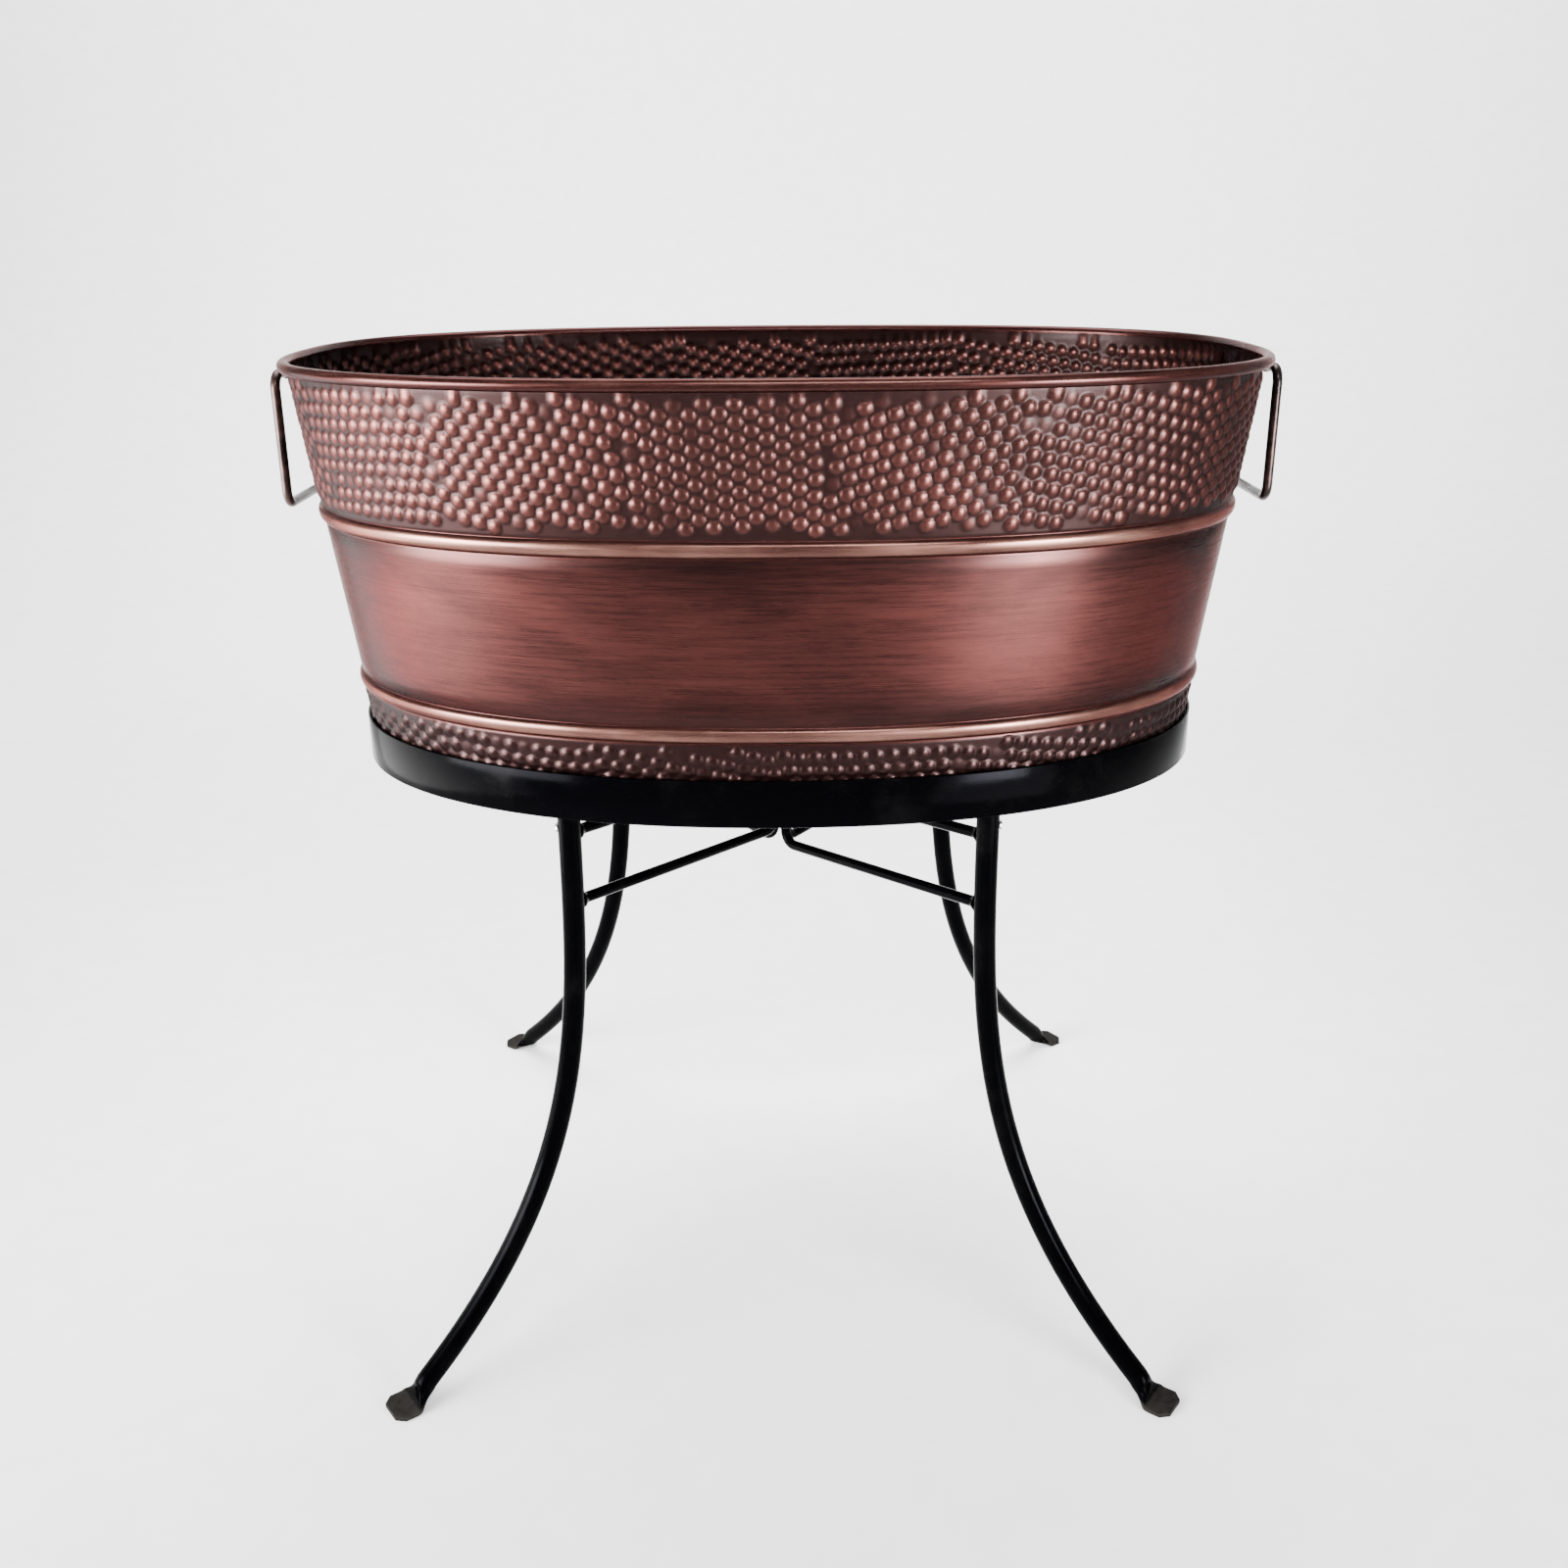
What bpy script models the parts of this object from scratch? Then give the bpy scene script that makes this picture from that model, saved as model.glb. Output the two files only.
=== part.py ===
"""Champagne bucket stand: an oval copper-finish steel tub with two drop handles, sitting in a black
strap ring on four splayed tube legs that are braced to a centre hub by bent rods.

Metres, +Z up. The origin is on the floor under the centre of the tub; +X runs along the tub's length.
"""

import math

import bmesh
import bpy
from mathutils import Matrix, Vector

# ---------------------------------------------------------------- driving dimensions
GAP = 0.0003                     # clearance between pieces that touch

RIM_HALF_LENGTH = 0.305          # outside of the rolled rim
RIM_HALF_WIDTH = 0.210
RIM_TOP = 0.6314
RIM_ROLL_RADIUS = 0.0036         # outside radius of the rolled rim
WALL_INSET = 0.0055              # rim outside to wall outside, at the rim
WALL_TAPER = 0.1138              # inward slope of the wall, per metre of height
SHEET = 0.001                    # thickness of the tub's sheet
TUB_BASE = 0.3808                # lower edge of the wall
RIM_ROUNDNESS = 2.6              # exponent of the oval at the rim
BASE_ROUNDNESS = 2.15            # exponent of the oval at the base
RIB_HEIGHTS = (0.4296, 0.5395)
RIB_HALF_HEIGHT = 0.0041
RIB_DEPTH = 0.0026
RIB_LEAD = 0.025                 # plain wall below a rib
RIM_NECK = 0.012                 # rim's top down to where the wall turns into the roll
WIRE_RADIUS = 0.0022             # wire inside the rolled rim
FLOOR_HEIGHT = 0.3870            # middle of the floor sheet
FLOOR_CORNER = 0.003             # radius where the floor turns down into its skirt
OVAL_STEPS = 60

RING_HALF_LENGTH = 0.2775
RING_HALF_WIDTH = 0.1830
RING_TOP = 0.4023
RING_DEPTH = 0.0287
STRAP = 0.002                    # thickness of the ring's strap

LEG_RADIUS = 0.007
LEG_WALL = 0.0014
LEG_SIDES = 12
LEG_X = 0.1268                   # where a leg's top stands
LEG_Y = 0.1497
LEG_TOP = 0.3768
LEG_BEND_TOP = 0.3736            # height at which a leg starts to leave the vertical
SPLAY_ANGLE = math.radians(36.5)  # direction of the splay, from the X axis
SPLAY_REACH = 0.140
SPLAY_START = 0.03
SPLAY_POWER = 3.246
TUBE_BOTTOM = 0.0175             # lowest round section of a leg
TUBE_STEPS = 12
PINCH_HEIGHT = 0.0095            # height at which the tube is nearly flat
FOOT_HEEL = 0.1335               # reach at which the foot meets the floor
FOOT_BEND = 0.0045
FOOT_END = 0.150                 # reach of the foot's tip
FOOT_HALF_WIDTH = 0.013
FOOT_HALF_THICKNESS = 0.0016
FOOT_CLIP = 0.005                # size of the clipped corners

BAR_WIDTH = 0.025
BAR_THICKNESS = 0.003
BAR_TOP = 0.3804

ROD_RADIUS = 0.0035
BRACE_LOW_AT_LEG = 0.3085
BRACE_LOW_AT_HUB = 0.2925
BRACE_SPREAD = 0.046             # height between a brace's two rods
BRACE_BEND = 0.009
RAISED_AT_LEG = 0.004            # the front left brace sits higher than the others
RAISED_AT_HUB = 0.011
HUB_RADIUS = 0.0064              # hub axis to the upright of a brace
COLLAR_HEIGHTS = (0.3140, 0.3270)
COLLAR_STRAP = 0.0015

HANDLE_ROD = 0.003
HANDLE_HALF_WIDTH = 0.038
HANDLE_DROP = 0.080
HANDLE_CORNER = 0.009
PIVOT_X = 0.310
PIVOT_Z = 0.6193

EAR_WIDTH = 0.024
EAR_PLATE = 0.0014
EAR_LOOP = 0.0047
EAR_HOLE = 0.0034
EAR_HOLE_SIDES = 16
EAR_NECK = 0.0022                # half height of the web between plate and loop
EAR_BOTTOM = 0.6010
EAR_TOP = 0.6222
RIVET_Z = 0.6075
RIVET_Y = 0.0065
RIVET_SHANK = 0.0014
DRILL_LENGTH = 0.012
SCREW_Z = 0.3620
SCREW_SHANK = 0.0018
SCREW_LENGTH = 0.0055
SCREW_DRILL = 0.009
SPIGOT_BOTTOM = 0.338
SPIGOT_CLEARANCE = 0.0005

COPPER = ((0.30, 0.12, 0.075), 0.34, 1.0)
COPPER_DARK = ((0.10, 0.055, 0.045), 0.38, 0.9)
BLACK = ((0.012, 0.012, 0.014), 0.28, 0.0)
STEEL = ((0.45, 0.45, 0.46), 0.35, 1.0)
QUADRANTS = (("front_left", -1, -1), ("front_right", 1, -1), ("back_left", -1, 1), ("back_right", 1, 1))


# ---------------------------------------------------------------- scene and materials
def clear_scene():
    for item in list(bpy.data.objects):
        bpy.data.objects.remove(item, do_unlink=True)


def new_collection(name):
    collection = bpy.data.collections.new(name)
    bpy.context.scene.collection.children.link(collection)
    return collection


def paint(obj, finish):
    colour, roughness, metallic = finish
    material = bpy.data.materials.new(obj.name + "_material")
    material.use_nodes = True
    shader = material.node_tree.nodes["Principled BSDF"]
    shader.inputs["Base Color"].default_value = (*colour, 1.0)
    shader.inputs["Roughness"].default_value = roughness
    shader.inputs["Metallic"].default_value = metallic
    obj.data.materials.append(material)


def object_from_bmesh(name, bm, collection, finish=None):
    bmesh.ops.recalc_face_normals(bm, faces=bm.faces)
    mesh = bpy.data.meshes.new(name)
    bm.to_mesh(mesh)
    bm.free()
    mesh.shade_smooth()
    mesh.set_sharp_from_angle(angle=math.radians(40))
    obj = bpy.data.objects.new(name, mesh)
    collection.objects.link(obj)
    if finish:
        paint(obj, finish)
    return obj


def cylinder(name, radius, depth, matrix, collection, finish=None, sides=12):
    bm = bmesh.new()
    bmesh.ops.create_cone(bm, cap_ends=True, segments=sides, radius1=radius, radius2=radius, depth=depth)
    bmesh.ops.transform(bm, matrix=matrix, verts=bm.verts)
    return object_from_bmesh(name, bm, collection, finish)


def cutter(obj):
    obj.hide_render = True
    obj.display_type = "WIRE"
    return obj


def boolean(obj, tool, operation="DIFFERENCE"):
    modifier = obj.modifiers.new(tool.name, "BOOLEAN")
    modifier.operation = operation
    modifier.solver = "EXACT"
    modifier.object = tool


# ---------------------------------------------------------------- ovals and lofts
def oval_point(half_length, half_width, roundness, angle, height):
    cosine = math.cos(angle)
    sine = math.sin(angle)
    x = half_length * math.copysign(abs(cosine) ** (2 / roundness), cosine)
    y = half_width * math.copysign(abs(sine) ** (2 / roundness), sine)
    return Vector((x, y, height))


def tub_roundness(height):
    share = (height - TUB_BASE) / (RIM_TOP - TUB_BASE)
    share = min(max(share, 0.0), 1.0)
    return BASE_ROUNDNESS + (RIM_ROUNDNESS - BASE_ROUNDNESS) * share


def oval_loop(half_length, half_width, roundness, height):
    """An oval's points; they start half a step off the axes, so each end has a flat facet."""
    return [oval_point(half_length, half_width, roundness, 2 * math.pi * (step + 0.5) / OVAL_STEPS, height)
            for step in range(OVAL_STEPS)]


def tub_loop(inset, height):
    """The tub's oval at a height, a given distance in from the outside of the rim."""
    return oval_loop(RIM_HALF_LENGTH - inset, RIM_HALF_WIDTH - inset, tub_roundness(height), height)


def ring_loop(inset, height):
    return oval_loop(RING_HALF_LENGTH - inset, RING_HALF_WIDTH - inset, BASE_ROUNDNESS, height)


def loft(loops, closed_profile=False, cap_first=False, cap_last=False):
    """Quads between loops that have the same number of points, with optional flat caps."""
    bm = bmesh.new()
    rows = [[bm.verts.new(point) for point in loop] for loop in loops]
    pairs = list(zip(rows, rows[1:]))
    if closed_profile:
        pairs.append((rows[-1], rows[0]))
    for lower, upper in pairs:
        count = len(lower)
        for index in range(count):
            following = (index + 1) % count
            bm.faces.new((lower[index], lower[following], upper[following], upper[index]))
    if cap_first:
        bm.faces.new(rows[0])
    if cap_last:
        bm.faces.new(rows[-1])
    return bm


def wall_inset(height):
    """Rim outside to wall outside, measured square to X or Y."""
    return WALL_INSET + WALL_TAPER * (RIM_TOP - height)


def wall_end_x(height):
    """Where the flat facet on the tub's +X end stands at a height."""
    return tub_loop(wall_inset(height), height)[0].x


# ---------------------------------------------------------------- tub
def wall_profile():
    """Inset and height of the middle of the sheet, from the base up and round the rolled rim."""
    middle = SHEET / 2
    heights = [TUB_BASE, *(rib - RIB_LEAD for rib in RIB_HEIGHTS)]
    points = [(wall_inset(heights[0]) + middle, heights[0])]
    for rib, lead in zip(RIB_HEIGHTS, heights[1:]):
        points.append((wall_inset(lead) + middle, lead))
        for share in (-1.0, -0.4, 0.4, 1.0):
            height = rib + share * RIB_HALF_HEIGHT
            bulge = RIB_DEPTH * math.cos(share * math.pi / 2)
            points.append((wall_inset(height) + middle - bulge, height))
    curl_radius = RIM_ROLL_RADIUS - middle
    curl_z = RIM_TOP - RIM_ROLL_RADIUS
    points.append((wall_inset(RIM_TOP - RIM_NECK) + middle, RIM_TOP - RIM_NECK))
    for degrees in range(180, -91, -45):
        turn = math.radians(degrees)
        inset = RIM_ROLL_RADIUS - curl_radius * math.cos(turn)
        points.append((inset, curl_z + curl_radius * math.sin(turn)))
    return points


def build_wall(collection):
    bm = loft([tub_loop(inset, height) for inset, height in wall_profile()])
    wall = object_from_bmesh("tub_wall", bm, collection, COPPER)
    sheet = wall.modifiers.new("sheet", "SOLIDIFY")
    sheet.thickness = SHEET
    sheet.offset = 0.0
    sheet.use_even_offset = True
    return wall


def build_rim_wire(collection):
    centre_z = RIM_TOP - RIM_ROLL_RADIUS
    sides = 6
    loops = []
    for side in range(sides):
        turn = 2 * math.pi * side / sides
        inset = RIM_ROLL_RADIUS - WIRE_RADIUS * math.cos(turn)
        loop = tub_loop(inset, centre_z)
        lift = WIRE_RADIUS * math.sin(turn)
        loops.append([point + Vector((0, 0, lift)) for point in loop])
    bm = loft(loops, closed_profile=True)
    return object_from_bmesh("rim_wire", bm, collection, STEEL)


def build_floor(collection):
    """A flat floor with a short turned-down skirt inside the wall's lower edge."""
    def skirt_inset(height):
        return wall_inset(height) + SHEET + GAP + SHEET / 2

    corner_top = FLOOR_HEIGHT - FLOOR_CORNER * 0.3
    loops = [
        tub_loop(skirt_inset(TUB_BASE), TUB_BASE),
        tub_loop(skirt_inset(FLOOR_HEIGHT - FLOOR_CORNER), FLOOR_HEIGHT - FLOOR_CORNER),
        tub_loop(skirt_inset(corner_top) + FLOOR_CORNER * 0.3, corner_top),
        tub_loop(skirt_inset(FLOOR_HEIGHT) + FLOOR_CORNER, FLOOR_HEIGHT),
    ]
    bm = loft(loops, cap_last=True)
    floor = object_from_bmesh("tub_floor", bm, collection, COPPER)
    sheet = floor.modifiers.new("sheet", "SOLIDIFY")
    sheet.thickness = SHEET
    sheet.offset = 0.0
    return floor


# ---------------------------------------------------------------- handles and their ears
def wall_matrix(side, along, height):
    """Frame on the wall's end: local Z points out of the wall, level with the sheet's slope."""
    x = side * wall_end_x(height)
    tilt = math.atan2(wall_end_x(RIM_TOP) - wall_end_x(EAR_BOTTOM), RIM_TOP - EAR_BOTTOM)
    outward = Vector((side * math.cos(tilt), 0, -math.sin(tilt)))
    turn = outward.to_track_quat("Z", "Y").to_matrix().to_4x4()
    return Matrix.Translation((x, along, height)) @ turn


def ear_outline():
    """Outline of an ear in X and Z on the +X end: a plate on the wall and a loop round the pivot."""
    def plate_x(height, thickness):
        return wall_end_x(height) + GAP + thickness

    points = [(plate_x(EAR_BOTTOM, 0), EAR_BOTTOM), (plate_x(EAR_BOTTOM, EAR_PLATE), EAR_BOTTOM)]
    points.append((plate_x(PIVOT_Z - EAR_NECK, EAR_PLATE), PIVOT_Z - EAR_NECK))
    start = math.asin(EAR_NECK / EAR_LOOP)
    steps = 12
    for step in range(steps + 1):
        angle = math.pi + start + (2 * math.pi - 2 * start) * step / steps
        points.append((PIVOT_X + EAR_LOOP * math.cos(angle), PIVOT_Z + EAR_LOOP * math.sin(angle)))
    points.append((plate_x(PIVOT_Z + EAR_NECK, EAR_PLATE), PIVOT_Z + EAR_NECK))
    points.append((plate_x(EAR_TOP, EAR_PLATE * 0.6), EAR_TOP))
    points.append((plate_x(EAR_TOP, 0), EAR_TOP))
    return points


def build_ear(name, side, collection, tools):
    curve = bpy.data.curves.new(name, "CURVE")
    curve.dimensions = "2D"
    curve.fill_mode = "BOTH"
    curve.extrude = EAR_WIDTH / 2
    turns = [2 * math.pi * step / EAR_HOLE_SIDES for step in range(EAR_HOLE_SIDES)]
    hole = [(PIVOT_X + EAR_HOLE * math.cos(turn), PIVOT_Z + EAR_HOLE * math.sin(turn)) for turn in turns]
    for outline in (ear_outline(), hole):
        spline = curve.splines.new("POLY")
        spline.points.add(len(outline) - 1)
        spline.use_cyclic_u = True
        for point, (x, z) in zip(spline.points, outline):
            point.co = (side * x, z, 0, 1)
    flat = bpy.data.objects.new(name + "_outline", curve)
    collection.objects.link(flat)
    flat.rotation_euler = (math.pi / 2, 0, 0)
    ear = mesh_from_curve(flat, name, collection, COPPER_DARK)
    for index, along in enumerate((-RIVET_Y, RIVET_Y)):
        drill = cylinder(f"{name}_drill_{index}", RIVET_SHANK + GAP, DRILL_LENGTH,
                         wall_matrix(side, along, RIVET_Z), tools)
        boolean(ear, cutter(drill))
        boolean(bpy.data.objects["tub_wall"], drill)
    return ear


def mesh_from_curve(curve_object, name, collection, finish):
    """Turn a curve object into a welded mesh object, so that it can be cut."""
    bpy.context.view_layer.update()
    graph = bpy.context.evaluated_depsgraph_get()
    mesh = bpy.data.meshes.new_from_object(curve_object.evaluated_get(graph))
    bm = bmesh.new()
    bm.from_mesh(mesh)
    bmesh.ops.remove_doubles(bm, verts=bm.verts, dist=1e-6)
    bmesh.ops.transform(bm, matrix=curve_object.matrix_world, verts=bm.verts)
    obj = object_from_bmesh(name, bm, collection, finish)
    bpy.data.objects.remove(curve_object, do_unlink=True)
    return obj


def build_rivet(name, side, along, collection):
    """A domed rivet through the ear and the wall, headed on both sides."""
    grip_out = GAP + EAR_PLATE + GAP
    grip_in = SHEET + GAP
    outline = [(0.0, grip_out + 0.0015), (0.0017, grip_out + 0.0012), (0.0027, grip_out + 0.0004),
               (0.0028, grip_out), (RIVET_SHANK, grip_out), (RIVET_SHANK, -grip_in),
               (0.0026, -grip_in), (0.0024, -grip_in - 0.0006), (0.0, -grip_in - 0.0011)]
    return turned(name, outline, wall_matrix(side, along, RIVET_Z), collection, COPPER_DARK, 12)


def turned(name, outline, matrix, collection, finish, steps):
    """A solid of revolution about its own Z axis, from an outline that runs top to bottom."""
    mesh = bpy.data.meshes.new(name)
    edges = [(index, index + 1) for index in range(len(outline) - 1)]
    mesh.from_pydata([(radius, 0, height) for radius, height in outline], edges, [])
    obj = bpy.data.objects.new(name, mesh)
    obj.matrix_world = matrix
    collection.objects.link(obj)
    screw = obj.modifiers.new("turn", "SCREW")
    screw.axis = "Z"
    screw.steps = steps
    screw.render_steps = steps
    screw.use_merge_vertices = True
    screw.merge_threshold = 0.00001
    screw.use_smooth_shade = True
    paint(obj, finish)
    return obj


def rounded_path(corners, radius, steps, closed=False):
    """Points along straight runs whose inner corners are replaced by arcs."""
    count = len(corners)
    points = []
    for index, corner in enumerate(corners):
        is_end = not closed and index in (0, count - 1)
        if is_end:
            points.append(corner.copy())
            continue
        before = (corners[index - 1] - corner).normalized()
        after = (corners[(index + 1) % count] - corner).normalized()
        half = before.angle(after) / 2
        reach = radius / math.tan(half)
        centre = corner + (before + after).normalized() * (radius / math.sin(half))
        start = corner + before * reach - centre
        finish = corner + after * reach - centre
        sweep = start.angle(finish)
        for step in range(steps + 1):
            share = step / steps
            weight_start = math.sin((1 - share) * sweep) / math.sin(sweep)
            weight_finish = math.sin(share * sweep) / math.sin(sweep)
            points.append(centre + start * weight_start + finish * weight_finish)
    return points


def rod(name, points, radius, collection, finish, closed=False, resolution=2):
    curve = bpy.data.curves.new(name, "CURVE")
    curve.dimensions = "3D"
    curve.bevel_depth = radius
    curve.bevel_resolution = resolution
    curve.use_fill_caps = True
    spline = curve.splines.new("POLY")
    spline.points.add(len(points) - 1)
    spline.use_cyclic_u = closed
    for target, point in zip(spline.points, points):
        target.co = (*point, 1)
    obj = bpy.data.objects.new(name, curve)
    collection.objects.link(obj)
    paint(obj, finish)
    return obj


def build_handle(name, side, collection):
    """A rectangular rod ring that hangs from its top bar; its origin is on that bar's axis."""
    corners = [Vector((0, -HANDLE_HALF_WIDTH, 0)), Vector((0, HANDLE_HALF_WIDTH, 0)),
               Vector((0, HANDLE_HALF_WIDTH, -HANDLE_DROP)), Vector((0, -HANDLE_HALF_WIDTH, -HANDLE_DROP))]
    points = rounded_path(corners, HANDLE_CORNER, 5, closed=True)
    handle = rod(name, points, HANDLE_ROD, collection, COPPER_DARK, closed=True, resolution=3)
    handle.location = (side * PIVOT_X, 0, PIVOT_Z)
    return handle


# ---------------------------------------------------------------- stand
def build_ring(collection):
    bottom = RING_TOP - RING_DEPTH
    loops = [ring_loop(0, bottom), ring_loop(0, RING_TOP), ring_loop(STRAP, RING_TOP), ring_loop(STRAP, bottom)]
    return object_from_bmesh("ring_band", loft(loops, closed_profile=True), collection, BLACK)


def build_cross_bar(name, side, collection, tools):
    """A flat bar under the tub, trimmed to the inside of the ring."""
    bm = bmesh.new()
    bmesh.ops.create_cube(bm, size=1.0)
    size = Matrix.Diagonal((BAR_WIDTH, 2 * RING_HALF_WIDTH, BAR_THICKNESS, 1))
    place = Matrix.Translation((side * LEG_X, 0, BAR_TOP - BAR_THICKNESS / 2))
    bmesh.ops.transform(bm, matrix=place @ size, verts=bm.verts)
    bar = object_from_bmesh(name, bm, collection, BLACK)
    inside = STRAP + GAP
    trim = loft([ring_loop(inside, BAR_TOP - 0.02), ring_loop(inside, BAR_TOP + 0.02)],
                cap_first=True, cap_last=True)
    boolean(bar, cutter(object_from_bmesh(name + "_trim", trim, tools)), "INTERSECT")
    return bar


def leg_reach(height):
    """How far a leg has splayed from the vertical at a height."""
    share = (LEG_BEND_TOP - height) / LEG_BEND_TOP
    share = min(max((share - SPLAY_START) / (1 - SPLAY_START), 0.0), 1.0)
    return SPLAY_REACH * share ** SPLAY_POWER


def leg_stations():
    """Reach, height, half width and half depth of a leg's section, from its top to the foot's tip."""
    stations = []
    for step in range(TUBE_STEPS + 1):
        share = step / TUBE_STEPS
        height = LEG_TOP + (TUBE_BOTTOM - LEG_TOP) * (1 - (1 - share) ** 1.5)
        stations.append((leg_reach(height), height, LEG_RADIUS, LEG_RADIUS))
    pinch_reach = leg_reach(PINCH_HEIGHT)
    middle = (TUBE_BOTTOM + PINCH_HEIGHT) / 2
    stations.append((leg_reach(middle), middle, 0.5 * LEG_RADIUS + 0.36 * FOOT_HALF_WIDTH, 0.74 * LEG_RADIUS))
    stations.append((pinch_reach, PINCH_HEIGHT, 0.79 * FOOT_HALF_WIDTH, 0.37 * LEG_RADIUS))
    start = Vector((pinch_reach, PINCH_HEIGHT))
    corner = Vector((FOOT_HEEL, FOOT_HALF_THICKNESS))
    finish = Vector((FOOT_HEEL + FOOT_BEND, FOOT_HALF_THICKNESS))
    for share, width_share in ((0.35, 0.88), (0.7, 0.96), (1.0, 1.0)):
        bent = start * (1 - share) ** 2 + corner * 2 * share * (1 - share) + finish * share ** 2
        stations.append((bent.x, bent.y, width_share * FOOT_HALF_WIDTH, FOOT_HALF_THICKNESS))
    for reach, half_width in ((FOOT_END - FOOT_CLIP, FOOT_HALF_WIDTH), (FOOT_END, FOOT_HALF_WIDTH - FOOT_CLIP)):
        stations.append((reach, FOOT_HALF_THICKNESS, half_width, FOOT_HALF_THICKNESS))
    return stations


def leg_section(reach, height, tangent, half_width, half_depth, sides):
    """One section across a leg: round for the tube, and squarer as it is pinched flat."""
    flat = 1 - half_depth / half_width
    power = 1 - 0.75 * flat
    normal = Vector((tangent.z, 0, -tangent.x))
    points = []
    for side in range(sides):
        angle = 2 * math.pi * (side + 0.5) / sides
        across = math.copysign(abs(math.cos(angle)) ** power, math.cos(angle)) * half_width
        deep = math.copysign(abs(math.sin(angle)) ** power, math.sin(angle)) * half_depth
        points.append(Vector((reach, 0, height)) + Vector((0, across, 0)) + normal * deep)
    return points


def leg_loops(stations, sides, shrink=0.0):
    places = [Vector((reach, 0, height)) for reach, height, _, _ in stations]
    loops = []
    for index, (reach, height, half_width, half_depth) in enumerate(stations):
        before = places[max(index - 1, 0)]
        after = places[min(index + 1, len(places) - 1)]
        tangent = (after - before).normalized()
        if height == FOOT_HALF_THICKNESS:
            tangent = Vector((1, 0, 0))
        loops.append(leg_section(reach, height, tangent, half_width - shrink, half_depth - shrink, sides))
    return loops


def leg_matrix(side_x, side_y):
    """Stands a leg drawn in the XZ plane at its place, splayed towards its own corner."""
    direction = math.atan2(side_y * math.sin(SPLAY_ANGLE), side_x * math.cos(SPLAY_ANGLE))
    return Matrix.Translation((side_x * LEG_X, side_y * LEG_Y, 0)) @ Matrix.Rotation(direction, 4, "Z")


def build_leg(name, side_x, side_y, collection, tools):
    """A tube leg, bored from the top, with its lower end pinched flat and turned out as a foot."""
    stations = leg_stations()
    bm = loft(leg_loops(stations, LEG_SIDES), cap_first=True, cap_last=True)
    bmesh.ops.transform(bm, matrix=leg_matrix(side_x, side_y), verts=bm.verts)
    leg = object_from_bmesh(name, bm, collection, BLACK)
    bored = [station for station in stations if station[2] == LEG_RADIUS][:-1]
    bored[0] = (bored[0][0], LEG_TOP + 0.004, LEG_RADIUS, LEG_RADIUS)
    bore = loft(leg_loops(bored, LEG_SIDES, shrink=LEG_WALL), cap_first=True, cap_last=True)
    bmesh.ops.transform(bore, matrix=leg_matrix(side_x, side_y), verts=bore.verts)
    boolean(leg, cutter(object_from_bmesh(name + "_bore", bore, tools)))
    drill_for_screw(leg, side_x, side_y, LEG_RADIUS, tools)
    return leg


def drill_for_screw(piece, side_x, side_y, radius, tools):
    """Drill a leg or spigot of the given radius for its screw, from the outer side."""
    outside = Matrix.Translation((side_x * (LEG_X + radius), side_y * LEG_Y, SCREW_Z))
    turn = Matrix.Rotation(math.pi / 2, 4, "Y")
    drill = cylinder(piece.name + "_drill", SCREW_SHANK + GAP, SCREW_DRILL, outside @ turn, tools)
    boolean(piece, cutter(drill))


def build_spigot(name, side_x, side_y, collection, tools):
    """A short rod under a cross bar, which a leg's tube slides over."""
    top = BAR_TOP - BAR_THICKNESS - GAP
    radius = LEG_RADIUS - LEG_WALL - SPIGOT_CLEARANCE
    place = Matrix.Translation((side_x * LEG_X, side_y * LEG_Y, (top + SPIGOT_BOTTOM) / 2))
    spigot = cylinder(name, radius, top - SPIGOT_BOTTOM, place, collection, BLACK)
    drill_for_screw(spigot, side_x, side_y, radius, tools)
    return spigot


def build_leg_screw(name, side_x, side_y, collection):
    """A pan-head screw through the outer side of a leg into its spigot."""
    outline = [(0.0, 0.0017), (0.0016, 0.0015), (0.0028, 0.0008), (0.0031, 0.0), (SCREW_SHANK, 0.0),
               (SCREW_SHANK, -SCREW_LENGTH + 0.001), (0.0, -SCREW_LENGTH)]
    seat = Matrix.Translation((side_x * (LEG_X + LEG_RADIUS + GAP), side_y * LEG_Y, SCREW_Z))
    turn = Matrix.Rotation(side_x * math.pi / 2, 4, "Y")
    return turned(name, outline, seat @ turn, collection, STEEL, 12)


def build_brace(name, side_x, side_y, collection):
    """One bent rod: out from the leg, up beside the hub and back to the leg higher up."""
    top = Vector((side_x * LEG_X, side_y * LEG_Y, 0))
    outward = top.normalized()
    at_leg = outward * (top.length - LEG_RADIUS - GAP)
    at_hub = outward * HUB_RADIUS
    raised = name == "brace_front_left"
    low_leg = BRACE_LOW_AT_LEG + (RAISED_AT_LEG if raised else 0)
    low_hub = BRACE_LOW_AT_HUB + (RAISED_AT_HUB if raised else 0)
    corners = [at_leg + Vector((0, 0, low_leg)), at_hub + Vector((0, 0, low_hub)),
               at_hub + Vector((0, 0, low_hub + BRACE_SPREAD)), at_leg + Vector((0, 0, low_leg + BRACE_SPREAD))]
    points = rounded_path(corners, BRACE_BEND, 5)
    return rod(name, points, ROD_RADIUS, collection, BLACK)


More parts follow.
